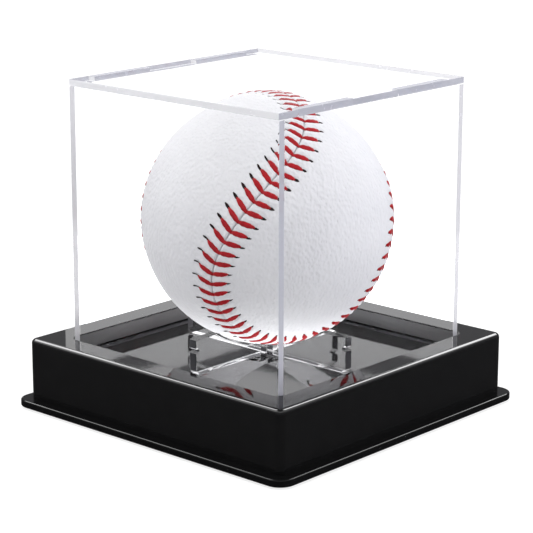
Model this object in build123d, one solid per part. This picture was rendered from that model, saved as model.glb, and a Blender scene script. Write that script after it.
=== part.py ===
from build123d import *
from bisect import bisect_left
from math import cos, pi, radians, sin, sqrt
import os

# A clear five-panel cover stands in the recess of a black two-tier plinth, over a ball that rests
# on two crossed clear plates. Lengths are in millimetres. X is to the right, Y to the back and
# Z up. The origin is the centre of the footprint, on the surface that the pads stand on.

# Ball
ball_diameter = 74.7
leather_thickness = 1.25
leather_edge_gap = 0.3
cork_diameter = 20.6
black_rubber_diameter = 27.8
red_rubber_diameter = 34.9
inner_grey_yarn_diameter = 62.7
white_yarn_diameter = 66.2
outer_grey_yarn_diameter = 70.6
layer_gap = 0.05

# Seam: a closed curve on the ball, as weights of its waves, and how the ball is turned
seam_third_wave = 0.265
seam_fifth_wave = -0.030
seam_sixth_wave = 0.024
ball_turn_axis = (-0.611, 0.503, 0.611)
ball_turn_degrees = 47.5
seam_steps = 72
rib_steps = 6
seam_samples = 2000
tangent_step = 0.001
wedge_reach = 1.3

# Stitches: pairs of arms that lie on the leather, either side of the seam
stitch_pairs = 108
stitch_reach = 4.4
stitch_start = 0.25
stitch_lean = 1.3
stitch_width = 0.8
stitch_height = 0.24
stitch_lift = 0.01

# Clear cover
ball_wall_gap = 1.15
ball_top_gap = 3.05
ball_floor_gap = 3.85
cover_wall = 2.5
cover_top = 2.0
tab_inner_end = 10.0
tab_outer_gap = 5.5

# Crossed cradle plates
cradle_thickness = 3.0
cradle_end_gap = 6.5
cradle_arm_height = 10.8
cradle_ball_gap = 0.2
cradle_slot_play = 0.05
cradle_foot_chamfer = 1.2
notch_height = 1.1
notch_depth = 1.3
notch_level = 7.3

# Plinth
cover_recess_gap = 1.1
recess_depth = 5.0
recess_corner_radius = 3.2
recess_edge_radius = 0.35
rim_width = 8.6
rim_thickness = 2.4
least_inside_radius = 0.5
edge_share_of_wall = 0.6
plinth_height = 18.7
plinth_corner_radius = 2.2
plinth_edge_radius = 1.4
shell_wall = 2.4
recess_wall = 2.2
boss_diameter = 6.4
boss_root = 0.5
boss_inset = 16.7
pilot_diameter = 2.6
pilot_depth = 8.0

# Bottom plate, wider than the plinth, with a lip that drops inside the plinth's wall
flange_ledge = 3.45
plate_thickness = 2.25
plate_corner_radius = 5.0
plate_edge_radius = 0.5
lip_play = 0.15
lip_width = 1.4
lip_height = 1.5

# Screws and pads
screw_length = 9.0
screw_core_diameter = 1.9
screw_thread_diameter = 2.5
screw_thread_pitch = 0.9
screw_thread_share = 0.9
screw_head_diameter = 4.8
screw_head_height = 1.3
screw_hole_diameter = 2.9
screw_head_play = 0.1
driver_slot_width = 0.7
driver_slot_length = 2.6
driver_slot_depth = 0.7
pad_diameter = 11.0
pad_thickness = 1.0
pad_sink = 0.5
pad_inset = 10.2
pad_play = 0.2
pad_edge_radius = 0.2

# Sizes that follow from the ones above
ball_radius = ball_diameter / 2
cover_inner = ball_diameter + 2 * ball_wall_gap
cover_outer = cover_inner + 2 * cover_wall
recess_opening = cover_outer + 2 * cover_recess_gap
plinth_width = recess_opening + 2 * rim_width
plate_width = plinth_width + 2 * flange_ledge
plate_bottom_z = pad_thickness - pad_sink
plate_top_z = plate_bottom_z + plate_thickness
rim_z = plate_top_z + plinth_height
floor_z = rim_z - recess_depth
floor_underside_z = floor_z - recess_wall
ball_centre_z = floor_z + ball_floor_gap + ball_radius
cover_ceiling_z = floor_z + ball_floor_gap + ball_diameter + ball_top_gap
tab_outer_end = cover_inner / 2 - tab_outer_gap
cradle_half_length = cover_inner / 2 - cradle_end_gap
cradle_arc_radius = ball_radius + stitch_lift + stitch_height + cradle_ball_gap
cradle_waist = ball_centre_z - cradle_arc_radius - floor_z
boss_place = plinth_width / 2 - boss_inset
pad_place = plate_width / 2 - pad_inset
ON_FLOOR = (Align.CENTER, Align.CENTER, Align.MIN)

# How far a cutting shape runs past the surface it cuts, and how closely heights are matched
overcut = 1.0
height_match = 0.01


def rounded_block(width, corner_radius, low_z, high_z):
    """A square upright block with rounded vertical corners."""
    outline = RectangleRounded(width, width, corner_radius)
    return Pos(0, 0, low_z) * extrude(outline, high_z - low_z)


def at_corners(shape, place):
    """Copies of a shape at the four corners of a square, without turning it."""
    return [Pos(x, y, 0) * shape for x in (-place, place) for y in (-place, place)]


def edges_at(shape, z):
    """The edges that lie wholly at one height."""
    return shape.edges().filter_by_position(Axis.Z, z - height_match, z + height_match)


# Plinth ---------------------------------------------------------------------------------

def plinth():
    """Hollow shell: outer block, recess in its top, and a hollow under the floor and the rim."""
    block = rounded_block(plinth_width, plinth_corner_radius, plate_top_z, rim_z)
    edge_radius = min(plinth_edge_radius, shell_wall * edge_share_of_wall)
    block = fillet(edges_at(block, rim_z), edge_radius)
    recess = rounded_block(recess_opening, recess_corner_radius, floor_z, rim_z + overcut)
    block -= recess
    half_opening = recess_opening / 2 + height_match
    inner_edges = [edge for edge in edges_at(block, rim_z) if is_inside(edge, half_opening)]
    block = fillet(inner_edges, recess_edge_radius)
    inside = plinth_width - 2 * shell_wall
    inside_radius = max(plinth_corner_radius - shell_wall, least_inside_radius)
    channel_low_z = floor_underside_z - overcut
    hollow = rounded_block(inside, inside_radius, plate_top_z - overcut, floor_underside_z)
    channel = rounded_block(inside, inside_radius, channel_low_z, rim_z - rim_thickness)
    core_width = recess_opening + 2 * recess_wall
    core_radius = recess_corner_radius + recess_wall
    channel_core = rounded_block(core_width, core_radius, channel_low_z, rim_z)
    block -= hollow
    block -= channel - channel_core
    boss_height = floor_underside_z - plate_top_z + boss_root
    boss = Pos(0, 0, plate_top_z) * Cylinder(boss_diameter / 2, boss_height, align=ON_FLOOR)
    for one in at_corners(boss, boss_place):
        block += one
    pilot = Pos(0, 0, plate_top_z) * Cylinder(pilot_diameter / 2, pilot_depth, align=ON_FLOOR)
    for one in at_corners(pilot, boss_place):
        block -= one
    return block


def is_inside(edge, half_width):
    """Whether an edge lies within a square of the given half width."""
    box = edge.bounding_box()
    return max(-box.min.X, box.max.X, -box.min.Y, box.max.Y) <= half_width


def bottom_plate():
    """Thin plate with a locating lip, screw holes sunk from below and shallow seats for the pads."""
    plate = rounded_block(plate_width, plate_corner_radius, plate_bottom_z, plate_top_z)
    plate = fillet(edges_at(plate, plate_top_z), plate_edge_radius)
    plate = fillet(edges_at(plate, plate_bottom_z), plate_edge_radius)
    lip_outside = plinth_width - 2 * shell_wall - 2 * lip_play
    inside_radius = max(plinth_corner_radius - shell_wall, least_inside_radius)
    lip_radius = max(inside_radius - lip_play, least_inside_radius)
    lip_high_z = plate_top_z + lip_height
    lip = rounded_block(lip_outside, lip_radius, plate_top_z - lip_height / 2, lip_high_z)
    lip_inside = lip_outside - 2 * lip_width
    lip_hole = rounded_block(lip_inside, least_inside_radius, plate_top_z, lip_high_z + overcut)
    plate += lip - lip_hole
    underside = Pos(0, 0, plate_bottom_z)
    hole = underside * Cylinder(screw_hole_diameter / 2, plate_thickness + overcut, align=ON_FLOOR)
    sink_radius = screw_head_diameter / 2 + screw_head_play
    sink_height = screw_head_height * sink_radius / (screw_head_diameter / 2)
    sink = underside * Cone(sink_radius, screw_core_diameter / 2, sink_height, align=ON_FLOOR)
    seat = underside * Cylinder(pad_diameter / 2 + pad_play, pad_sink, align=ON_FLOOR)
    for cut in at_corners(hole + sink, boss_place) + at_corners(seat, pad_place):
        plate -= cut
    return plate


def screw():
    """Countersunk self-tapping screw, head down, with ridges for its thread and a cross recess."""
    head_radius = screw_head_diameter / 2
    core = screw_core_diameter / 2
    ridge = screw_thread_diameter / 2
    tip_z = screw_length
    cone_low_z = tip_z - screw_thread_diameter
    thread_width = screw_thread_pitch * screw_thread_share
    outline = [(0, 0), (head_radius, 0), (core, screw_head_height)]
    z = plate_thickness + screw_thread_pitch / 2
    while z + screw_thread_pitch < cone_low_z:
        outline += [(core, z), (ridge, z + thread_width / 2), (core, z + thread_width)]
        z += screw_thread_pitch
    outline += [(core, cone_low_z), (0, tip_z)]
    profile = Plane.XZ * make_face(Polyline(*outline, close=True))
    body = revolve(profile, Axis.Z)
    bar = Box(driver_slot_length, driver_slot_width, driver_slot_depth, align=ON_FLOOR)
    body -= bar
    body -= Rot(0, 0, 90) * bar
    return body


def bottom_screws():
    """Four screws, flush with the underside of the bottom plate."""
    return Compound(children=at_corners(Pos(0, 0, plate_bottom_z) * screw(), boss_place))


def foot_pad(x, y):
    """Thin round pad, half sunk into its seat."""
    pad = Cylinder(pad_diameter / 2, pad_thickness, align=ON_FLOOR)
    pad = fillet(edges_at(pad, 0), pad_edge_radius)
    return Pos(x * pad_place, y * pad_place, 0) * pad


# Cradle ---------------------------------------------------------------------------------

def cradle_plate(slot_from_top):
    """Plate along X, hollowed to the ball, with notched ends and half of the cross joint."""
    height = cradle_arm_height
    blank = Rectangle(2 * cradle_half_length, height, align=(Align.CENTER, Align.MIN))
    feet = blank.vertices().sort_by(Axis.Y)[:2]
    blank = chamfer(feet, min(cradle_foot_chamfer, height / 4))
    blank -= Pos(0, ball_centre_z - floor_z) * Circle(cradle_arc_radius)
    for side in (-1, 1):
        notch = Rectangle(2 * notch_depth, notch_height)
        blank -= Pos(side * cradle_half_length, notch_level) * notch
    slot_width = cradle_thickness + 2 * cradle_slot_play
    slot_height = cradle_waist / 2 + cradle_slot_play
    slot = Rectangle(slot_width, slot_height, align=(Align.CENTER, Align.MIN))
    slot_level = cradle_waist / 2 if slot_from_top else 0
    blank -= Pos(0, slot_level) * slot
    plate = extrude(Plane.XZ * blank, cradle_thickness / 2, both=True)
    return Pos(0, 0, floor_z) * plate


# Cover ----------------------------------------------------------------------------------

def tab_spans():
    """The two stretches of a side wall's top edge that rise through the top panel."""
    return [(-tab_outer_end, -tab_inner_end), (tab_inner_end, tab_outer_end)]


def span_box(x_low, x_high, y_low, y_high, z_low, z_high):
    """A box given by its limits."""
    centre = Pos((x_low + x_high) / 2, (y_low + y_high) / 2, (z_low + z_high) / 2)
    return centre * Box(x_high - x_low, y_high - y_low, z_high - z_low)


def top_panel():
    """Square panel, notched along its left and right edges for the side walls' tabs."""
    half = cover_outer / 2
    high = cover_ceiling_z + cover_top
    panel = span_box(-half, half, -half, half, cover_ceiling_z, high)
    low_z = cover_ceiling_z - overcut
    high_z = high + overcut
    for near, far in tab_spans():
        panel -= span_box(half - cover_wall, half + overcut, near, far, low_z, high_z)
        panel -= span_box(-half - overcut, -half + cover_wall, near, far, low_z, high_z)
    return panel


def front_or_back_wall(side):
    """Full-width wall that covers the ends of the side walls."""
    half = cover_outer / 2
    y_low, y_high = sorted((side * half, side * (half - cover_wall)))
    return span_box(-half, half, y_low, y_high, floor_z, cover_ceiling_z)


def side_wall(side):
    """Wall between the front and back walls, with two tabs on its top edge."""
    half = cover_outer / 2
    x_low, x_high = sorted((side * half, side * (half - cover_wall)))
    reach = cover_inner / 2
    wall = span_box(x_low, x_high, -reach, reach, floor_z, cover_ceiling_z)
    tab_root_z = cover_ceiling_z - cover_top
    for near, far in tab_spans():
        wall += span_box(x_low, x_high, near, far, tab_root_z, cover_ceiling_z + cover_top)
    return wall


# Ball -----------------------------------------------------------------------------------

def seam_direction(t):
    """Direction from the ball's centre to the seam at parameter t, before the ball is turned."""
    first_wave = 1 - seam_third_wave
    second_wave = 2 * sqrt(first_wave * seam_third_wave)
    x = first_wave * cos(t) + seam_third_wave * cos(3 * t) + seam_fifth_wave * cos(5 * t)
    y = first_wave * sin(t) - seam_third_wave * sin(3 * t) + seam_fifth_wave * sin(5 * t)
    z = second_wave * sin(2 * t) + seam_sixth_wave * sin(6 * t)
    return Vector(x, y, z).normalized()


def seam_tangent(t):
    """Unit direction along the seam."""
    ahead = seam_direction(t + tangent_step)
    behind = seam_direction(t - tangent_step)
    return (ahead - behind).normalized()


def beside_seam(t, sideways, forward=0.0):
    """Direction to a point on the ball's surface at given distances across and along the seam."""
    out = seam_direction(t)
    along = seam_tangent(t)
    across = out.cross(along)
    return (out + across * (sideways / ball_radius) + along * (forward / ball_radius)).normalized()


def between(first, second, share):
    """Direction part of the way along the great circle from one direction to another."""
    whole = radians(first.get_angle(second))
    a = sin((1 - share) * whole) / sin(whole)
    b = sin(share * whole) / sin(whole)
    return first * a + second * b


def leather_wedge(sideways):
    """Solid cone from the ball's centre over one leather piece, its edge set back from the seam."""
    far = wedge_reach * ball_radius
    origin = Vector(0, 0, 0)
    half_steps = seam_steps // 2
    ribs = []
    for step in range(half_steps + 1):
        t = -pi / 4 + pi * step / half_steps
        first = beside_seam(t, sideways)
        second = beside_seam(3 * pi / 2 - t, sideways)
        if step in (0, half_steps):
            ribs.append([first * far])
        else:
            ribs.append([between(first, second, k / rib_steps) * far for k in range(rib_steps + 1)])
    triangles = []
    for near, next_rib in zip(ribs, ribs[1:]):
        triangles += [(origin, near[0], next_rib[0]), (origin, next_rib[-1], near[-1])]
        if len(near) == 1:
            triangles += [(near[0], b, a) for a, b in zip(next_rib, next_rib[1:])]
        elif len(next_rib) == 1:
            triangles += [(a, b, next_rib[0]) for a, b in zip(near, near[1:])]
        else:
            for a, b, c, d in zip(near, near[1:], next_rib, next_rib[1:]):
                triangles += [(a, b, c), (b, d, c)]
    faces = [Face(Wire.make_polygon(corners)) for corners in triangles]
    return Solid(Shell(faces))


def shell(outer_diameter, inner_diameter):
    """Hollow sphere about the origin."""
    return Sphere(outer_diameter / 2) - Sphere(inner_diameter / 2 + layer_gap)


def place_ball(shape):
    """Turn a piece of the ball and lift it to where the ball rests."""
    turned_shape = shape.rotate(Axis((0, 0, 0), ball_turn_axis), ball_turn_degrees)
    return Pos(0, 0, ball_centre_z) * turned_shape


def leather_pieces():
    """The two equal figure-eight pieces of leather."""
    skin = shell(ball_diameter, ball_diameter - 2 * leather_thickness)
    piece = skin & leather_wedge(leather_edge_gap / 2)
    return place_ball(piece), place_ball(piece.rotate(Axis.X, 180))


def seam_stations(count):
    """Seam parameters spaced evenly by length along the seam."""
    angles = [2 * pi * k / seam_samples for k in range(seam_samples + 1)]
    lengths = [0.0]
    for near, far in zip(angles, angles[1:]):
        chord = seam_direction(far) - seam_direction(near)
        lengths.append(lengths[-1] + chord.length)
    stations = []
    for k in range(count):
        target = lengths[-1] * k / count
        index = max(bisect_left(lengths, target), 1)
        part = (target - lengths[index - 1]) / (lengths[index] - lengths[index - 1])
        stations.append(angles[index - 1] + part * (angles[index] - angles[index - 1]))
    return stations


def stitches():
    """Pairs of short flat threads that lean away from the seam, laid on the leather."""
    threads = []
    for t in seam_stations(stitch_pairs):
        for side in (-1, 1):
            inner = beside_seam(t, side * stitch_start)
            outer = beside_seam(t, side * stitch_reach, -stitch_lean)
            middle = (inner + outer).normalized()
            length = (outer - inner).length * ball_radius
            origin = middle * (ball_radius + stitch_lift)
            laid = Plane(origin=origin, x_dir=outer - inner, z_dir=middle)
            threads.append(laid * Box(length, stitch_width, stitch_height, align=ON_FLOOR))
    return place_ball(Compound(children=threads))


def layer(outer_diameter, inner_diameter):
    """One of the ball's hidden layers, in place."""
    return Pos(0, 0, ball_centre_z) * shell(outer_diameter, inner_diameter)


# Every piece by name --------------------------------------------------------------------

leather_a, leather_b = leather_pieces()
yarn_outside = ball_diameter - 2 * leather_thickness
pieces = {
    "plinth_shell": plinth(),
    "bottom_plate": bottom_plate(),
    "bottom_screws": bottom_screws(),
    "foot_pad_front_left": foot_pad(-1, -1),
    "foot_pad_front_right": foot_pad(1, -1),
    "foot_pad_back_left": foot_pad(-1, 1),
    "foot_pad_back_right": foot_pad(1, 1),
    "cradle_plate_across": cradle_plate(slot_from_top=True),
    "cradle_plate_along": cradle_plate(slot_from_top=False).rotate(Axis.Z, 90),
    "cover_top_panel": top_panel(),
    "cover_front_wall": front_or_back_wall(-1),
    "cover_back_wall": front_or_back_wall(1),
    "cover_left_wall": side_wall(-1),
    "cover_right_wall": side_wall(1),
    "ball_cork_core": Pos(0, 0, ball_centre_z) * Sphere(cork_diameter / 2),
    "ball_black_rubber": layer(black_rubber_diameter, cork_diameter),
    "ball_red_rubber": layer(red_rubber_diameter, black_rubber_diameter),
    "ball_inner_grey_yarn": layer(inner_grey_yarn_diameter, red_rubber_diameter),
    "ball_white_yarn": layer(white_yarn_diameter, inner_grey_yarn_diameter),
    "ball_outer_grey_yarn": layer(outer_grey_yarn_diameter, white_yarn_diameter),
    "ball_finish_winding": layer(yarn_outside, outer_grey_yarn_diameter),
    "ball_leather_a": leather_a,
    "ball_leather_b": leather_b,
    "ball_stitches": stitches(),
}

os.makedirs("parts", exist_ok=True)
for name, shape in pieces.items():
    export_step(shape, f"parts/{name}.step")
    print(name, round(shape.volume, 2), shape.is_valid)
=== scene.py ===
from math import cos, pi, radians, sin

import bmesh
import bpy
import numpy as np
from mathutils import Matrix, Vector


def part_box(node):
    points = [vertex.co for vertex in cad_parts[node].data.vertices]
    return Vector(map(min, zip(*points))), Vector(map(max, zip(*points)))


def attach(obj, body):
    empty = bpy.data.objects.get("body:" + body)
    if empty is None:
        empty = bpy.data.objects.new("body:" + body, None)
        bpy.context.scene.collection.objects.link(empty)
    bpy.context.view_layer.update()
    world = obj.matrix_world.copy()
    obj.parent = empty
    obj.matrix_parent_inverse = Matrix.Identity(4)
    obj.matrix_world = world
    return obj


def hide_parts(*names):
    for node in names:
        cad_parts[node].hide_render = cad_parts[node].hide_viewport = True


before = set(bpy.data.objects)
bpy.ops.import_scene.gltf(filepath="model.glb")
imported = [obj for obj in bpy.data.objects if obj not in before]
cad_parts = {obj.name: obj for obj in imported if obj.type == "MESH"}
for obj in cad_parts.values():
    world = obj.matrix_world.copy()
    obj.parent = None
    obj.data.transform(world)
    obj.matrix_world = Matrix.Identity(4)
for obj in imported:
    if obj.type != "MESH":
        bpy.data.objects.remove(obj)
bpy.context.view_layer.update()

MM = 0.001

# ------------------------------------------------------------------ places, read from the frame
core_low, core_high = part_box("ball_cork_core")
BALL_CENTRE = np.array((core_low + core_high) / 2)
BALL_RADIUS = max(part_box(name)[1].z for name in ("ball_leather_a", "ball_leather_b")) - BALL_CENTRE[2]
PLATE_SIDE_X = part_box("bottom_plate")[1].x
RECESS_FLOOR_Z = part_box("cradle_plate_across")[0].z
RIM_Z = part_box("plinth_shell")[1].z
TOP_PANEL_LOW_Z, TOP_PANEL_HIGH_Z = (corner.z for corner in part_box("cover_top_panel"))


# ------------------------------------------------------------------ materials
class Look:
    """A node material: one Principled shader and the procedural nodes that feed it."""

    def __init__(self, name, **values):
        self.material = bpy.data.materials.new(name)
        self.material.use_nodes = True
        self.tree = self.material.node_tree
        self.shader = self.tree.nodes["Principled BSDF"]
        self.output = self.tree.nodes["Material Output"]
        self.coordinates = self.tree.nodes.new("ShaderNodeTexCoord").outputs["Object"]
        for key, value in values.items():
            self.shader.inputs[key.replace("_", " ")].default_value = value

    def node(self, kind, **values):
        made = self.tree.nodes.new("ShaderNode" + kind)
        for key, value in values.items():
            if hasattr(made, key):
                setattr(made, key, value)
            else:
                made.inputs[key.replace("_", " ")].default_value = value
        return made

    def link(self, source, target):
        self.tree.links.new(source, target)

    def stretched(self, scale):
        """Object coordinates, stretched along the axes."""
        mapping = self.node("Mapping", Scale=scale)
        self.link(self.coordinates, mapping.inputs["Vector"])
        return mapping.outputs[0]

    def noise(self, scale, detail=2.0, roughness=0.5, distortion=0.0, coordinates=None):
        made = self.node("TexNoise", Scale=scale, Detail=detail, Roughness=roughness,
                         Distortion=distortion)
        self.link(coordinates or self.coordinates, made.inputs["Vector"])
        return made.outputs["Fac"]

    def cells(self, scale, feature="F1", coordinates=None):
        made = self.node("TexVoronoi", feature=feature, Scale=scale)
        self.link(coordinates or self.coordinates, made.inputs["Vector"])
        return made.outputs["Distance"]

    def bands(self, scale, distortion):
        made = self.node("TexWave", Scale=scale, Distortion=distortion)
        self.link(self.coordinates, made.inputs["Vector"])
        return made.outputs["Fac"]

    def ranged(self, source, low, high, start=0.0, end=1.0):
        """A value moved from start..end to low..high."""
        made = self.node("MapRange")
        limits = (("From Min", start), ("From Max", end), ("To Min", low), ("To Max", high))
        for name, value in limits:
            made.inputs[name].default_value = value
        self.link(source, made.inputs["Value"])
        return made.outputs[0]

    def absolute(self, source):
        made = self.node("Math", operation="ABSOLUTE")
        self.link(source, made.inputs[0])
        return made.outputs[0]

    def combine(self, first, second, operation):
        """Two values under a maths operation. The second may be a plain number."""
        made = self.node("Math", operation=operation)
        self.link(first, made.inputs[0])
        if isinstance(second, float):
            made.inputs[1].default_value = second
        else:
            self.link(second, made.inputs[1])
        return made.outputs[0]

    def roughness(self, source, low, high):
        self.link(self.ranged(source, low, high), self.shader.inputs["Roughness"])

    def colours(self, source, *stops):
        """The base colour from stops of (position, colour)."""
        ramp = self.node("ValToRGB")
        elements = ramp.color_ramp.elements
        while len(elements) < len(stops):
            elements.new(0.5)
        for element, (position, colour) in zip(elements, stops):
            element.position = position
            element.color = (*colour, 1.0)
        self.link(source, ramp.inputs[0])
        self.link(ramp.outputs[0], self.shader.inputs["Base Color"])
        return ramp.outputs[0]

    def bump(self, source, distance, strength=1.0):
        """A bump on top of any earlier ones."""
        made = self.node("Bump", Strength=strength, Distance=distance)
        self.link(source, made.inputs["Height"])
        previous = self.shader.inputs["Normal"].links
        if previous:
            self.link(previous[0].from_socket, made.inputs["Normal"])
        self.link(made.outputs[0], self.shader.inputs["Normal"])

    def lets_lamps_through(self):
        """Light reaches what the clear piece shuts in without being bent."""
        path = self.node("LightPath")
        lit = self.combine(path.outputs["Is Shadow Ray"], path.outputs["Is Diffuse Ray"], "MAXIMUM")
        clear = self.node("BsdfTransparent")
        mix = self.node("MixShader")
        self.link(lit, mix.inputs[0])
        self.link(self.shader.outputs[0], mix.inputs[1])
        self.link(clear.outputs[0], mix.inputs[2])
        self.link(mix.outputs[0], self.output.inputs["Surface"])


# Painted light: a lighter grey for the recess walls, standing for the light they catch
PAINTED_WALL_LIGHT = (0.16, 0.16, 0.162, 1.0)


def gloss_black(name, level, recess=None):
    """Gloss black plastic. The walls of a recess, given by its half width, floor and rim, take a lighter
    grey of painted light.
    """
    look = Look(name, Specular_IOR_Level=level, IOR=1.5)
    black = look.colours(look.noise(220.0, 3.0), (0.3, (0.0035, 0.0035, 0.0037)),
                         (0.8, (0.0055, 0.0055, 0.0057)))
    if recess:
        half_width, low, high = recess
        axes = look.node("SeparateXYZ")
        look.link(look.coordinates, axes.inputs[0])
        x, y, z = axes.outputs
        from_middle = look.combine(look.absolute(x), look.absolute(y), "MAXIMUM")
        inside = look.combine(from_middle, half_width, "LESS_THAN")
        above, below = look.combine(z, low, "GREATER_THAN"), look.combine(z, high, "LESS_THAN")
        wall = look.combine(inside, look.combine(above, below, "MULTIPLY"), "MULTIPLY")
        # Painted light: the recess walls are mixed to a lighter grey
        mix = look.node("Mix", data_type="RGBA")
        look.link(wall, mix.inputs["Factor"])
        look.link(black, mix.inputs["A"])
        mix.inputs["B"].default_value = PAINTED_WALL_LIGHT
        look.link(mix.outputs["Result"], look.shader.inputs["Base Color"])
    look.roughness(look.noise(900.0, 4.0), 0.035, 0.075)
    look.bump(look.noise(55.0, 1.0), 0.00002)
    return look.material


def rubber_black():
    look = Look("pad_rubber", Specular_IOR_Level=0.3)
    look.colours(look.noise(1500.0, 3.0), (0.3, (0.012, 0.012, 0.012)), (0.8, (0.03, 0.03, 0.03)))
    look.roughness(look.noise(600.0), 0.6, 0.85)
    look.bump(look.noise(2500.0, 3.0), 0.00004)
    return look.material


def steel():
    look = Look("zinc_steel", Metallic=1.0)
    look.colours(look.noise(800.0, 2.0), (0.3, (0.52, 0.53, 0.55)), (0.8, (0.68, 0.69, 0.71)))
    look.roughness(look.noise(1200.0, 3.0), 0.22, 0.4)
    look.bump(look.noise(1500.0), 0.00001)
    return look.material


def clear_acrylic(name, ior):
    look = Look(name, Transmission_Weight=1.0, IOR=ior, Roughness=0.0,
                Base_Color=(0.995, 0.995, 1.0, 1.0))
    look.bump(look.noise(30.0, 0.0), 0.000004)
    look.lets_lamps_through()
    return look.material


def acrylic_edge(name, glow, dark, light):
    """A satin cut edge. Its colour is a painted level of light and shade, and its emission a painted glow
    of a little of the light that the sheet carries to it.
    """
    look = Look(name, Transmission_Weight=0.15, IOR=1.2, Specular_IOR_Level=0.3,
                Emission_Color=(0.95, 0.95, 1.0, 1.0), Emission_Strength=glow)
    streaks = look.noise(60.0, 2.0, coordinates=look.stretched((1.0, 1.0, 0.25)))
    look.colours(streaks, (0.3, dark), (0.75, light))
    look.roughness(look.noise(400.0, 3.0), 0.18, 0.32)
    look.bump(look.noise(1500.0, 2.0), 0.00001)
    look.lets_lamps_through()
    return look.material


def white_leather():
    look = Look("white_leather", Specular_IOR_Level=0.35, Sheen_Weight=0.05)
    patches = look.noise(45.0, 4.0, 0.6)
    look.colours(patches, (0.3, (0.77, 0.77, 0.80)), (0.75, (0.84, 0.84, 0.865)))
    look.roughness(look.noise(700.0, 2.0), 0.42, 0.58)
    grain = look.cells(1150.0, "SMOOTH_F1", look.stretched((1.0, 1.0, 0.75)))
    folds = look.noise(520.0, 3.0, 0.6, 0.6, look.stretched((1.0, 1.0, 0.4)))
    look.bump(grain, 0.00026)
    look.bump(folds, 0.00028, 0.9)
    return look.material


def red_thread():
    look = Look("red_waxed_thread", Specular_IOR_Level=0.3)
    look.colours(look.noise(900.0, 3.0), (0.3, (0.32, 0.003, 0.008)), (0.8, (0.50, 0.008, 0.016)))
    look.roughness(look.noise(1500.0), 0.38, 0.55)
    look.bump(look.noise(4000.0), 0.00004)
    return look.material


# Painted shade: near black with a few thread-red specks, for the shadowed inside of a needle hole
def needle_hole():
    look = Look("needle_hole_shadow", Specular_IOR_Level=0.2)
    look.colours(look.noise(1500.0, 2.0), (0.4, (0.006, 0.005, 0.006)), (0.85, (0.05, 0.012, 0.014)))
    look.roughness(look.noise(900.0), 0.6, 0.8)
    look.bump(look.noise(3000.0), 0.00005)
    return look.material


def yarn(name, dark, light):
    look = Look(name, Specular_IOR_Level=0.2, Sheen_Weight=0.3)
    winding = look.bands(420.0, 6.0)
    look.colours(winding, (0.2, dark), (0.8, light))
    look.roughness(look.noise(900.0), 0.75, 0.95)
    look.bump(winding, 0.0004)
    return look.material


def core_material(name, dark, light, scale, rough, grain):
    """Cork or rubber, with grains a third of the size of its patches."""
    look = Look(name, Specular_IOR_Level=0.4)
    look.colours(look.noise(scale, 4.0), (0.3, dark), (0.75, light))
    look.roughness(look.noise(scale * 2), rough, rough + 0.15)
    look.bump(look.cells(scale * 3), grain)
    return look.material


# The painted light goes a little past the recess's walls sideways and stops short of its floor and rim
PAINTED_WALL_LIGHT_HALF_WIDTH = 42.7 * MM
PAINTED_WALL_LIGHT_LOW_Z = RECESS_FLOOR_Z + 0.3 * MM
PAINTED_WALL_LIGHT_HIGH_Z = RIM_Z - 0.4 * MM
PLATE_BLACK = gloss_black("gloss_black_plate", 0.2)
SHELL_BLACK = gloss_black("gloss_black_shell", 0.5, (PAINTED_WALL_LIGHT_HALF_WIDTH, PAINTED_WALL_LIGHT_LOW_Z, PAINTED_WALL_LIGHT_HIGH_Z))
RUBBER = rubber_black()
STEEL = steel()
# Far less refractive than real acrylic: the stitches keep their red behind the top panel
COVER_INDEX = 1.012
CRADLE_INDEX = 1.04
CLEAR = clear_acrylic("clear_acrylic", COVER_INDEX)
CRADLE_CLEAR = clear_acrylic("cradle_acrylic", CRADLE_INDEX)
# Painted light and shade: copies of one satin cut edge, lit to different levels for the ways the faces
# turn, the lit ones with a painted glow
EDGE_PAINTED_LIT = acrylic_edge("acrylic_edge_painted_lit", 0.12, (0.80, 0.80, 0.83), (0.88, 0.88, 0.90))
EDGE_PAINTED_DARK = acrylic_edge("acrylic_edge_painted_dark_shade", 0.0, (0.035, 0.035, 0.04), (0.06, 0.06, 0.065))
EDGE_PAINTED_HALF_LIT = acrylic_edge("acrylic_edge_painted_half_lit", 0.02, (0.62, 0.62, 0.655), (0.70, 0.70, 0.725))
EDGE_PAINTED_SHADED = acrylic_edge("acrylic_edge_painted_shade", 0.0, (0.47, 0.475, 0.54), (0.54, 0.545, 0.60))
LEATHER = white_leather()
THREAD = red_thread()
HOLE = needle_hole()
GREY_YARN = yarn("grey_wool_yarn", (0.16, 0.16, 0.17), (0.42, 0.42, 0.43))
WHITE_YARN = yarn("white_yarn", (0.55, 0.53, 0.48), (0.82, 0.80, 0.74))

CAD_LOOKS = {
    "plinth_shell": SHELL_BLACK,
    "bottom_plate": PLATE_BLACK,
    "bottom_screws": STEEL,
    "foot_pad_front_left": RUBBER,
    "foot_pad_front_right": RUBBER,
    "foot_pad_back_left": RUBBER,
    "foot_pad_back_right": RUBBER,
    "ball_cork_core": core_material("cork", (0.24, 0.12, 0.05), (0.50, 0.30, 0.14), 500.0, 0.7, 0.0003),
    "ball_black_rubber": core_material("black_rubber", (0.012, 0.012, 0.012), (0.03, 0.03, 0.03),
                                       300.0, 0.6, 0.0001),
    "ball_red_rubber": core_material("red_rubber", (0.35, 0.02, 0.02), (0.50, 0.04, 0.03),
                                     300.0, 0.55, 0.0001),
    "ball_inner_grey_yarn": GREY_YARN,
    "ball_white_yarn": WHITE_YARN,
    "ball_outer_grey_yarn": GREY_YARN,
    "ball_finish_winding": WHITE_YARN,
}
for name, look in CAD_LOOKS.items():
    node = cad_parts[name]
    for slot in node.material_slots:
        slot.material = look


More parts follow.
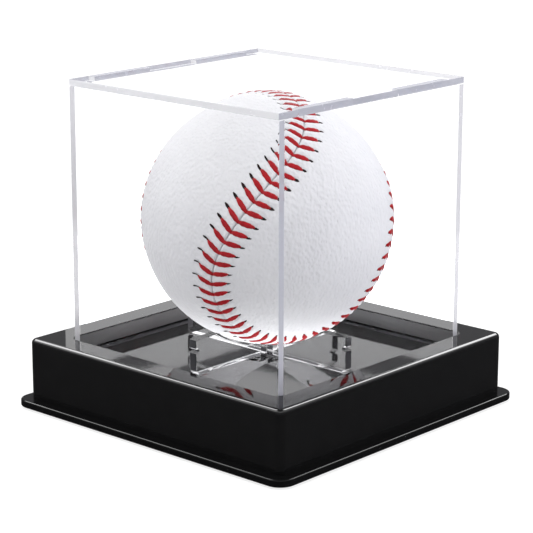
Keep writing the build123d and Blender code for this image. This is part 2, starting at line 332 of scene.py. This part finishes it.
# ------------------------------------------------------------------ pieces
def finished(name, mesh, body, node, looks, smooth, face_looks=None):
    """A piece from a mesh. It rides on a body and, where a node is given, stands for that CAD node."""
    for look in looks:
        mesh.materials.append(look)
    if face_looks is not None:
        mesh.polygons.foreach_set("material_index", face_looks)
    mesh.polygons.foreach_set("use_smooth", [smooth] * len(mesh.polygons))
    made = bpy.data.objects.new(name, mesh)
    bpy.context.scene.collection.objects.link(made)
    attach(made, body)
    if node:
        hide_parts(node)
    return made


# Clear sheets: the CAD sheets with eased edges and a hair of room at the glued joints
PANEL_GAP = 0.02 * MM
EASE = 0.22 * MM
SAME_PLACE = 0.0005 * MM
SAME_PLANE = radians(0.3)
SHARP = radians(30)
FACES_ALONG_AXIS = 0.95


def eased_sheet(node_name, body, clear, cut_looks):
    """The CAD sheet with its edges eased.

    cut_looks gives the look of the cut faces towards each side, such as "+x". The others are clear.
    Above the top joint, where the tabs are, the faces and eased edges to a side all take its look."""
    low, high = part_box(node_name)
    size = high - low
    centre = (low + high) / 2
    sheet = bmesh.new()
    sheet.from_mesh(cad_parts[node_name].data)
    bmesh.ops.remove_doubles(sheet, verts=sheet.verts, dist=SAME_PLACE)
    bmesh.ops.dissolve_limit(sheet, angle_limit=SAME_PLANE, verts=sheet.verts, edges=sheet.edges)
    for vertex in sheet.verts:
        for axis in range(3):
            inward = 1 - 2 * PANEL_GAP / size[axis]
            vertex.co[axis] = centre[axis] + (vertex.co[axis] - centre[axis]) * inward
    bmesh.ops.bisect_plane(sheet, geom=sheet.verts[:] + sheet.edges[:] + sheet.faces[:],
                           plane_co=(0.0, 0.0, TOP_PANEL_LOW_Z), plane_no=(0.0, 0.0, 1.0))
    sharp = [edge for edge in sheet.edges if edge.is_manifold and edge.calc_face_angle() > SHARP]
    bmesh.ops.bevel(sheet, geom=sharp, offset=EASE, segments=2, profile=0.5, affect="EDGES",
                    clamp_overlap=True)
    sheet.normal_update()
    thin = min(range(3), key=lambda axis: size[axis])
    looks = [clear, EDGE_PAINTED_LIT, EDGE_PAINTED_HALF_LIT, EDGE_PAINTED_SHADED, EDGE_PAINTED_DARK]
    face_looks = []
    for face in sheet.faces:
        in_top = face.calc_center_median().z > TOP_PANEL_LOW_Z
        # A face halfway between two axes counts as facing up or down
        facing = max(range(3), key=lambda axis: abs(face.normal[axis]) + 0.001 * (axis == 2))
        flat = abs(face.normal[facing]) > FACES_ALONG_AXIS
        cut = (flat or in_top) and (facing != thin or in_top and thin != 2)
        side = "-+"[face.normal[facing] > 0] + "xyz"[facing]
        face_looks.append(looks.index(cut_looks[side]) if cut and side in cut_looks else 0)
    mesh = bpy.data.meshes.new(node_name + "_eased")
    sheet.to_mesh(mesh)
    sheet.free()
    finished(node_name + "_sheet", mesh, body, node_name, looks, False, face_looks)


# The cut faces take painted light and shade by the way they turn, and the feet are painted dark shade
SHEETS = {
    "cover_top_panel": {"-x": EDGE_PAINTED_SHADED, "+x": EDGE_PAINTED_SHADED, "-y": EDGE_PAINTED_LIT, "+y": EDGE_PAINTED_LIT},
    "cover_front_wall": {"-x": EDGE_PAINTED_HALF_LIT, "+x": EDGE_PAINTED_SHADED, "+z": EDGE_PAINTED_LIT, "-z": EDGE_PAINTED_DARK},
    "cover_back_wall": {"+x": EDGE_PAINTED_HALF_LIT, "+z": EDGE_PAINTED_LIT, "-z": EDGE_PAINTED_DARK},
    "cover_left_wall": {"-x": EDGE_PAINTED_SHADED, "+z": EDGE_PAINTED_SHADED, "-z": EDGE_PAINTED_DARK},
    "cover_right_wall": {"+x": EDGE_PAINTED_SHADED, "+z": EDGE_PAINTED_SHADED, "-z": EDGE_PAINTED_DARK},
}
for name, cut_looks in SHEETS.items():
    eased_sheet(name, "cover", CLEAR, cut_looks)
# The cradle plates' cut ends are painted dark shade
eased_sheet("cradle_plate_across", "base", CRADLE_CLEAR, {"-x": EDGE_PAINTED_DARK, "+x": EDGE_PAINTED_DARK})
eased_sheet("cradle_plate_along", "base", CRADLE_CLEAR, {"-y": EDGE_PAINTED_DARK, "+y": EDGE_PAINTED_DARK})


# ------------------------------------------------------------------ ball
# Sizes of the ball are in millimetres until its points are put in place.
# The seam is a closed curve of a few waves, turned about an axis to its place in the photo's view.
THIRD_WAVE = 0.265
FIFTH_WAVE = -0.030
SIXTH_WAVE = 0.024
TURN_AXIS = (-0.611, 0.503, 0.611)
TURN = radians(47.5)
TURNED = np.array(Matrix.Rotation(TURN, 3, Vector(TURN_AXIS)))
R = BALL_RADIUS / MM

STITCHES = 108
REACH = 4.4             # from the seam to where a thread starts to dive
LEAN = 1.3              # how far a thread leans along the seam over its reach

PUFF_HEIGHT = 0.40      # the leather stands up along the seam and is pressed down by the threads
PUFF_RISE = (0.0, 0.8)
PUFF_FALL = (2.6, 6.0)
PRESS, PRESS_WIDTH = 1.35, 0.95
GROOVE_DEPTH, GROOVE_AT, GROOVE_WIDTH = 0.50, 0.05, 0.16
DIMPLE_DEPTH, DIMPLE_AT, DIMPLE_LENGTH, DIMPLE_WIDTH = 0.34, 4.9, 1.0, 0.5
FOLD_DEPTH, FOLD_AT, FOLD_WIDTH = 0.10, 1.35, 0.25
FOLD_START = (0.6, 1.6)

COLUMNS = STITCHES * 16
STRIP_ROWS = (0.05, 0.10, 0.16, 0.24, 0.36, 0.52, 0.76, 1.05, 1.4, 1.8, 2.25, 2.75, 3.25, 3.75, 4.25, 4.8,
              5.3, 5.9, 6.6)
LEATHER_THICKNESS = 1.2
EDGE_ROWS = ((0.14, -LEATHER_THICKNESS), (0.07, -0.85))
RIB_STEPS = 40
INNER_STEPS = 8


def unit(v):
    return v / np.linalg.norm(v, axis=-1, keepdims=True)


def seam(t):
    """Unit directions to the seam at parameters t, before the ball is turned."""
    first = 1 - THIRD_WAVE
    second = 2 * np.sqrt(first * THIRD_WAVE)
    x = first * np.cos(t) + THIRD_WAVE * np.cos(3 * t) + FIFTH_WAVE * np.cos(5 * t)
    y = first * np.sin(t) - THIRD_WAVE * np.sin(3 * t) + FIFTH_WAVE * np.sin(5 * t)
    z = second * np.sin(2 * t) + SIXTH_WAVE * np.sin(6 * t)
    return unit(np.stack([x, y, z], axis=-1))


SEAM_SAMPLES = 40001
SEAM_T = np.linspace(-pi / 4, 2 * pi - pi / 4, SEAM_SAMPLES)
SEAM_STEPS = np.linalg.norm(np.diff(seam(SEAM_T), axis=0), axis=1)
SEAM_LENGTHS = np.concatenate([[0.0], np.cumsum(SEAM_STEPS)])
PITCH = SEAM_LENGTHS[-1] * R / STITCHES


def at_length(share):
    """Seam parameter at a share of the seam's length from the tip of the first leather piece."""
    return np.interp(np.mod(share, 1.0) * SEAM_LENGTHS[-1], SEAM_LENGTHS, SEAM_T)


SMALL_T = 0.0005


def frame_on_seam(t):
    """Unit directions out of the ball, along the seam and across it."""
    out = seam(t)
    along = unit(seam(t + SMALL_T) - seam(t - SMALL_T))
    return out, along, np.cross(out, along)


def on_ball(t, sideways, forward, height):
    """Points at distances in millimetres across and along the seam and above the ball."""
    out, along, across = frame_on_seam(t)
    reach = np.sqrt(sideways ** 2 + forward ** 2) + 1e-9
    angle = reach / R
    move = (across * sideways[..., None] + along * forward[..., None]) / reach[..., None]
    direction = out * np.cos(angle)[..., None] + move * np.sin(angle)[..., None]
    return direction * (R + height)[..., None]


def ball_piece(name, points, faces, node, look):
    """A smooth piece of the ball from points in millimetres about the ball's centre."""
    placed = np.concatenate(points).reshape(-1, 3) @ TURNED.T * MM + BALL_CENTRE
    mesh = bpy.data.meshes.new(name)
    mesh.from_pydata([tuple(point) for point in placed], [], faces)
    mesh.validate()
    return finished(name, mesh, "ball", node, [look], True)


def step(low, high, x):
    """0 below low, 1 above high and smooth between."""
    t = np.clip((x - low) / (high - low), 0.0, 1.0)
    return t * t * (3 - 2 * t)


def hill(x, centre, width):
    return np.exp(-(((x - centre) / width) ** 2))


def leather_height(sideways, station):
    """How far the leather stands above the plain ball. Station counts stitches."""
    s = np.abs(sideways)
    phase = station + LEAN * s / REACH / PITCH
    from_thread = np.abs(phase - np.round(phase)) * PITCH
    puffed = step(*PUFF_RISE, s) * (1 - step(*PUFF_FALL, s))
    pressed = 1 - PRESS * hill(from_thread, 0.0, PRESS_WIDTH)
    groove = -GROOVE_DEPTH * hill(s, GROOVE_AT, GROOVE_WIDTH)
    dimple = -DIMPLE_DEPTH * hill(s, DIMPLE_AT, DIMPLE_LENGTH) * hill(from_thread, 0.0, DIMPLE_WIDTH)
    fold = -FOLD_DEPTH * hill(from_thread, FOLD_AT, FOLD_WIDTH) * puffed * step(*FOLD_START, s)
    return PUFF_HEIGHT * puffed * pressed + groove + dimple + fold


def leather(name, side, tip, node):
    """One figure-eight piece: a puckered strip along its whole edge and ribs across its middle.

    Side is the side of the seam it lies on, and tip the column at one of its ends."""
    share = np.arange(COLUMNS) / COLUMNS
    t = at_length(share)
    station = share * STITCHES - 0.5
    rows = []
    forward = np.zeros(COLUMNS)
    for sideways, height in EDGE_ROWS:
        rows.append(on_ball(t, np.full(COLUMNS, side * sideways), forward, np.full(COLUMNS, height)))
    for sideways in STRIP_ROWS:
        across = np.full(COLUMNS, side * sideways)
        rows.append(on_ball(t, across, forward, leather_height(across, station)))
    points = [np.concatenate(rows)]
    total = len(rows) * COLUMNS
    faces = []

    def quad(a, b, c, d):
        faces.append((a, b, c, d) if side > 0 else (d, c, b, a))

    for row in range(len(rows) - 1):
        near, far = row * COLUMNS, (row + 1) * COLUMNS
        for j in range(COLUMNS):
            k = (j + 1) % COLUMNS
            quad(near + j, near + k, far + k, far + j)

    def middle(row, steps, flip):
        """Ribs of great circles between the two halves of one row."""
        nonlocal total
        half = COLUMNS // 2
        ring = rows[row]
        index = np.arange(1, half)
        a = ring[(tip + index) % COLUMNS]
        b = ring[(tip - index) % COLUMNS]
        radius = np.linalg.norm(a, axis=1)
        ua, ub = unit(a), unit(b)
        angle = np.arccos(np.clip((ua * ub).sum(axis=1), -1, 1))[:, None]
        grid = []
        for k in range(1, steps):
            part = k / steps
            point = (ua * np.sin((1 - part) * angle) + ub * np.sin(part * angle)) / np.sin(angle)
            grid.append(unit(point) * radius[:, None])
        points.append(np.stack(grid, axis=1).reshape(-1, 3))
        start = total
        total += (half - 1) * (steps - 1)

        def number(i, k):
            if k == 0 or i in (0, half):
                return row * COLUMNS + (tip + i) % COLUMNS
            if k == steps:
                return row * COLUMNS + (tip - i) % COLUMNS
            return start + (i - 1) * (steps - 1) + k - 1

        for i in range(half):
            for k in range(steps):
                corners = [number(i, k), number(i + 1, k), number(i + 1, k + 1), number(i, k + 1)]
                corners = list(dict.fromkeys(corners))
                if len(corners) > 2:
                    faces.append(tuple(corners if (side > 0) != flip else corners[::-1]))

    middle(len(rows) - 1, RIB_STEPS, False)
    middle(0, INNER_STEPS, True)
    return ball_piece(name, points, faces, node, LEATHER)


BALL_PIECES = [leather("leather_cover_a", 1, 0, "ball_leather_a"),
               leather("leather_cover_b", -1, COLUMNS // 4, "ball_leather_b")]

# Threads: each arm is a two-ply waxed thread that comes out of the seam and dives into its hole
RINGS = 28
SIDES = 12
PLY_TWISTS = 3.2
PLY_RELIEF = 0.07
ARM_SPANS = {-1: (-0.55, 4.75), 1: (-0.05, 4.9)}
THREAD_HALF_WIDTHS = (0.24, 0.56)       # at its ends, and how much more in its middle
THREAD_HALF_HEIGHTS = (0.13, 0.15)
THREAD_START = -0.12                    # its height over the ball at the seam
THREAD_RISE, RISEN_AT = 0.22, 0.22      # how much it rises, and by which share of its length
THREAD_DIVE, DIVES_FROM = 0.50, 0.80
CROSSING_LIFT, CROSSED_AT = 0.08, 0.3
WOBBLE, WOBBLE_STEP = 0.05, 2.7
END_SLANT = 0.3


def threads():
    points, faces = [], []
    q = np.linspace(0.0, 1.0, RINGS)
    around = np.arange(SIDES) * 2 * pi / SIDES
    ends, more = THREAD_HALF_WIDTHS
    half_width = ends + more * np.sin(pi * np.clip(q * 0.94 + 0.05, 0, 1)) ** 0.8
    ends, more = THREAD_HALF_HEIGHTS
    half_height = ends + more * np.sin(pi * q) ** 0.6
    for k in range(STITCHES):
        t = np.full(SIDES, at_length((k + 0.5) / STITCHES))
        for side, (start, end) in ARM_SPANS.items():
            s = start + (end - start) * q
            forward = -LEAN * s / REACH
            wobble = WOBBLE * np.sin(WOBBLE_STEP * k + side) * np.sin(pi * q)
            dive = THREAD_DIVE * step(DIVES_FROM, 1.0, q)
            lift = THREAD_START + THREAD_RISE * step(0.0, RISEN_AT, q) - dive
            if side < 0:
                # This arm starts beyond the seam and lies over the other one there
                lift = lift + CROSSING_LIFT * (1 - step(0.0, CROSSED_AT, q))
            first = len(points) * SIDES
            for n in range(RINGS):
                twist = 1 + PLY_RELIEF * np.cos(2 * (around - PLY_TWISTS * pi * q[n]))
                offset = half_width[n] * np.cos(around) * twist
                rise = half_height[n] * np.sin(around) * twist
                sideways = np.full(SIDES, side * s[n]) + offset * side * LEAN / REACH * END_SLANT
                points.append(on_ball(t, sideways, forward[n] + wobble[n] + offset, lift[n] + rise))
            for n in range(RINGS - 1):
                for m in range(SIDES):
                    a = first + n * SIDES + m
                    b = first + n * SIDES + (m + 1) % SIDES
                    face = (a, b, b + SIDES, a + SIDES)
                    faces.append(face if side < 0 else face[::-1])
            near_cap = tuple(first + m for m in range(SIDES))
            far_cap = tuple(first + (RINGS - 1) * SIDES + m for m in range(SIDES))
            faces.append(near_cap[::-1] if side < 0 else near_cap)
            faces.append(far_cap if side < 0 else far_cap[::-1])
    return ball_piece("stitch_threads", points, faces, "ball_stitches", THREAD)


BALL_PIECES.append(threads())

# Needle holes: a thin pointed lens under and beyond each thread's end, a dark sheet of painted shade for
# the inside of a hole
HOLE_STEPS = 9
HOLE_HALF_WIDTH = 0.50
HOLE_LANES = np.array([-1.0, -0.6, 0.0, 0.6, 1.0])
HOLE_SPANS = {-1: (3.6, 6.4), 1: (4.0, 6.0)}
HOLE_TOP = 0.05
HOLE_BOTTOM = -0.15
HOLE_LIFT = 0.012


def needle_holes():
    points, faces = [], []
    q = np.linspace(0.0, 1.0, HOLE_STEPS)
    width = HOLE_HALF_WIDTH * np.sin(pi * (0.04 + 0.92 * q)) ** 0.7
    lanes = len(HOLE_LANES)
    for k in range(STITCHES):
        t = np.full(lanes, at_length((k + 0.5) / STITCHES))
        for side, (start, end) in HOLE_SPANS.items():
            s = start + (end - start) * q
            first = len(points) * lanes
            for depth in (HOLE_TOP, HOLE_BOTTOM):
                for n in range(HOLE_STEPS):
                    sideways = np.full(lanes, side * s[n])
                    forward = -LEAN * s[n] / REACH + HOLE_LANES * width[n]
                    ground = leather_height(sideways, np.full(lanes, float(k)) + forward / PITCH)
                    dome = (1 - HOLE_LANES ** 2) * depth + HOLE_LIFT
                    points.append(on_ball(t, sideways, forward, ground + dome))
            for n in range(HOLE_STEPS - 1):
                for m in range(lanes - 1):
                    a = first + n * lanes + m
                    face = (a, a + 1, a + lanes + 1, a + lanes)
                    under = tuple(v + HOLE_STEPS * lanes for v in face)
                    faces.append(face if side < 0 else face[::-1])
                    faces.append(under[::-1] if side < 0 else under)
    return ball_piece("stitch_holes", points, faces, None, HOLE)


BALL_PIECES.append(needle_holes())

# The cards that only reflections see don't light the ball
not_sheened = bpy.data.collections.new("not_sheened")
for made in BALL_PIECES:
    not_sheened.objects.link(made)
for item in not_sheened.collection_objects:
    item.light_linking.link_state = "EXCLUDE"
# The floor of the recess mirrors the pale room and not the ball
for made in BALL_PIECES + [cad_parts[name] for name in CAD_LOOKS if name.startswith("ball_")]:
    made.visible_glossy = False

# ------------------------------------------------------------------ camera
AZIMUTH = radians(42.0)
ELEVATION = radians(14.62)
ROLL = radians(0.122)
RANGE = 616.1 * MM
AIM_RIGHT = -0.16 * MM
AIM_UP = 20.77 * MM
SENSOR_WIDTH = 36.0
LENS = 137.62
right = Vector((cos(AZIMUTH), sin(AZIMUTH), 0.0))
back = Vector((sin(AZIMUTH) * cos(ELEVATION), -cos(AZIMUTH) * cos(ELEVATION), sin(ELEVATION)))
up = back.cross(right)
camera_data = bpy.data.cameras.new("camera")
camera_data.sensor_width = SENSOR_WIDTH
camera_data.lens = LENS
camera_data.clip_start = 0.02
camera_data.clip_end = 50.0
camera = bpy.data.objects.new("camera", camera_data)
bpy.context.scene.collection.objects.link(camera)
eye = Vector((0.0, 0.0, RIM_Z)) + right * AIM_RIGHT + up * AIM_UP + back * RANGE
turned_right = right * cos(ROLL) + up * sin(ROLL)
turned_up = up * cos(ROLL) - right * sin(ROLL)
axes = Matrix((turned_right, turned_up, back)).transposed().to_4x4()
camera.matrix_world = Matrix.Translation(eye) @ axes
bpy.context.scene.camera = camera


# ------------------------------------------------------------------ studio
WHITE = (1.0, 1.0, 1.0)
CENTRE = Vector((0.0, 0.0, 0.055))


def lamp(name, place, target, size, radiance, colour=WHITE, lights=True, mirrors=True):
    """A soft box. Its radiance is what a mirror would show of it. One that doesn't light is only
    for reflections, and the ball takes nothing from it."""
    data = bpy.data.lights.new(name, "AREA")
    data.shape = "RECTANGLE"
    data.size, data.size_y = size
    data.energy = radiance * pi * size[0] * size[1]
    data.color = colour
    made = bpy.data.objects.new(name, data)
    bpy.context.scene.collection.objects.link(made)
    made.location = place
    made.rotation_mode = "QUATERNION"
    made.rotation_quaternion = (Vector(target) - Vector(place)).to_track_quat("-Z", "Y")
    made.visible_camera = False
    made.visible_transmission = False
    made.visible_diffuse = lights
    made.visible_glossy = mirrors
    if not lights:
        made.light_linking.receiver_collection = not_sheened
    return made


lamp("key_left", CENTRE - right * 0.75 + Vector((0, 0, 0.75)) + back * 0.05, CENTRE, (0.7, 0.7), 1.3)
lamp("fill_right", CENTRE + right * 0.95 + Vector((0, 0, 0.1)) + back * 0.15, CENTRE, (0.6, 0.9), 2.6,
     (0.92, 0.92, 1.0), mirrors=False)
lamp("overhead", CENTRE + Vector((0, 0, 1.1)), CENTRE, (0.42, 0.42), 4.5, mirrors=False)

# Sheens that the top faces of the rim mirror to the photo's view
SHEEN_RANGE = 1.1
SHEEN_SIZE = (0.6, 0.6)
SHEEN_RADIANCE = 9.0
for side, towards in (("left", Vector((-0.647, 0, 0.762))), ("right", Vector((0, 0.719, 0.695)))):
    lamp(f"sheen_{side}", CENTRE + towards * SHEEN_RANGE, CENTRE, SHEEN_SIZE, SHEEN_RADIANCE, lights=False)

# Light that comes up from the recess, as off its pale floor in the photo
lamp("under_fill", (0.0, 0.0, RECESS_FLOOR_Z + 0.4 * MM), (0.0, 0.0, 1.0), (0.07, 0.07), 2.1, mirrors=False)


def white_card(name, place, size):
    """An upright white card that faces across the case. It is seen through acrylic as well."""
    x, y, z = place
    across = (x, 0.0) if abs(x) < abs(y) else (0.0, y)
    lamp(name, place, (*across, z), size, 1.0, lights=False).visible_transmission = True


# White cards: low ones behind, high ones all round for the clear top
LOW_Z = RIM_Z + 6 * MM
LOW_AWAY = PLATE_SIDE_X + 14 * MM
LOW_ASIDE = 32 * MM
LOW_SIZE = (0.104, 0.032)
HIGH_Z = TOP_PANEL_HIGH_Z + 80 * MM
HIGH_AWAY = 0.17
HIGH_SIZE = (0.34, 0.17)
white_card("card_low_back", (-LOW_ASIDE, LOW_AWAY, LOW_Z), LOW_SIZE)
white_card("card_low_left", (-LOW_AWAY, LOW_ASIDE, LOW_Z), LOW_SIZE)
for number, (x, y) in enumerate(((0, -1), (1, 0), (0, 1), (-1, 0))):
    white_card(f"card_high_{number}", (x * HIGH_AWAY, y * HIGH_AWAY, HIGH_Z), HIGH_SIZE)

# The ground and the floor are white to the eye. Reflections see a dim room, and light comes from
# a pale one that is darker on the camera's side.
ROOM_BEHIND = 0.95
ROOM_IN_FRONT = 0.38
ROOM_MIRRORED = (0.24, 0.24, 0.25, 1.0)
FLOOR_GLOW = 0.78


def maths(tree, operation, *values):
    made = tree.nodes.new("ShaderNodeMath")
    made.operation = operation
    for socket, value in zip(made.inputs, values):
        if isinstance(value, float):
            socket.default_value = value
        else:
            tree.links.new(value, socket)
    return made.outputs[0]


def sight(tree):
    """Two shares of 0 or 1: whether a ray sees, and whether it has been mirrored. It sees directly,
    through acrylic and along the inside of a sheet. Reflections and light don't see."""
    path = tree.nodes.new("ShaderNodeLightPath").outputs
    inside_one_sheet = maths(tree, "COMPARE", path["Transmission Depth"], 2.0, 0.5)
    outside = maths(tree, "SUBTRACT", 1.0, inside_one_sheet)
    mirrors = maths(tree, "MULTIPLY", path["Glossy Depth"], outside)
    bounces = maths(tree, "ADD", path["Diffuse Depth"], mirrors)
    return maths(tree, "LESS_THAN", bounces, 0.5), maths(tree, "GREATER_THAN", path["Glossy Depth"], 0.5)


def mixed_colours(tree, share, first, second):
    """A colour between a socket and a plain colour."""
    made = tree.nodes.new("ShaderNodeMix")
    made.data_type = "RGBA"
    tree.links.new(share, made.inputs["Factor"])
    tree.links.new(first, made.inputs["A"])
    made.inputs["B"].default_value = second
    return made.outputs["Result"]


def studio_world():
    world = bpy.data.worlds.new("studio")
    bpy.context.scene.world = world
    world.use_nodes = True
    tree = world.node_tree
    seen, mirrored = sight(tree)
    towards_camera = tree.nodes.new("ShaderNodeVectorMath")
    towards_camera.operation = "DOT_PRODUCT"
    towards_camera.inputs[1].default_value = (back.x, back.y, 0.0)
    direction = tree.nodes.new("ShaderNodeTexCoord").outputs["Generated"]
    tree.links.new(direction, towards_camera.inputs[0])
    room = tree.nodes.new("ShaderNodeMapRange")
    limits = (("From Min", -0.1), ("From Max", 1.0), ("To Min", ROOM_BEHIND), ("To Max", ROOM_IN_FRONT))
    for name, value in limits:
        room.inputs[name].default_value = value
    tree.links.new(towards_camera.outputs["Value"], room.inputs["Value"])
    unseen = mixed_colours(tree, mirrored, room.outputs[0], ROOM_MIRRORED)
    colour = mixed_colours(tree, seen, unseen, (*WHITE, 1.0))
    tree.links.new(colour, tree.nodes["Background"].inputs["Color"])


def studio_floor():
    look = Look("studio_floor", Base_Color=(0.35, 0.35, 0.35, 1.0), Roughness=0.9, Specular_IOR_Level=0.0)
    seen, mirrored = sight(look.tree)
    glow = look.node("Emission", Color=(*WHITE, 1.0), Strength=FLOOR_GLOW)
    seen_floor = look.node("AddShader")
    look.link(look.shader.outputs[0], seen_floor.inputs[0])
    look.link(glow.outputs[0], seen_floor.inputs[1])
    dim = look.node("BsdfDiffuse", Color=(0.12, 0.12, 0.12, 1.0))
    pale = look.node("BsdfDiffuse", Color=(0.75, 0.75, 0.76, 1.0))

    def choose(share, first, second):
        made = look.node("MixShader")
        for source, socket in zip((share, first.outputs[0], second.outputs[0]), made.inputs):
            look.link(source, socket)
        return made

    surface = choose(seen, choose(mirrored, pale, dim), seen_floor)
    look.link(surface.outputs[0], look.output.inputs["Surface"])
    bpy.ops.mesh.primitive_plane_add(size=12.0, location=(0.0, 0.0, 0.0))
    floor = bpy.context.object
    floor.name = "studio_floor"
    floor.data.materials.append(look.material)


studio_world()
studio_floor()

bpy.context.scene.view_settings.view_transform = "Standard"
